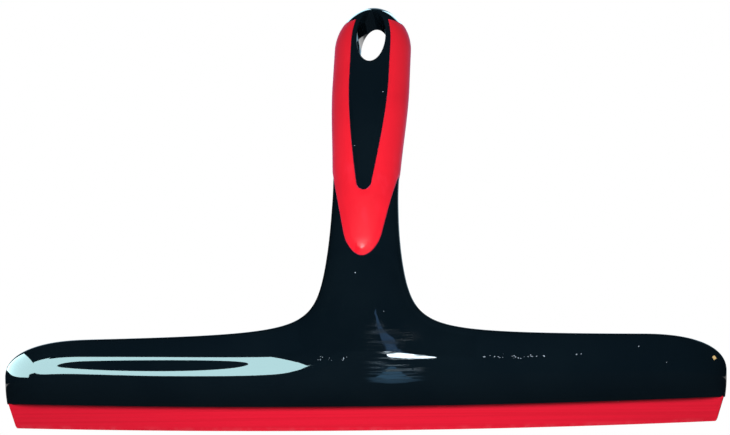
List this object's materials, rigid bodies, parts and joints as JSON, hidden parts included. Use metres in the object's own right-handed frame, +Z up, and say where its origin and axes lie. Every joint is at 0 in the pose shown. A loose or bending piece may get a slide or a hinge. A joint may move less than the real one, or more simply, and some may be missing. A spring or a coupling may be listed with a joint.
{
  "type": "window cleaning squeegee",
  "caption": "T-shaped hand squeegee: a soft lip along a slim moulded hood, on a bent handle with soft grips and a hanging hole, for wiping water off glass and tiles.",
  "frame": {"origin": "middle of the top wall of the hanging hole, where a hook bears", "axes": "+X along the head, -Y out of the front, +Z up, with the blade's wiping edge lowest"},
  "size_m": [0.303, 0.0632, 0.1765],
  "materials": {
    "housing": "glossy black",
    "blade": "satin red",
    "grip": "soft satin red"
  },
  "bodies": {
    "root": {"front_shell": "housing", "rear_shell": "housing", "blade": "blade", "front_grip": "grip", "rear_grip": "grip"}
  },
  "joints": []
}
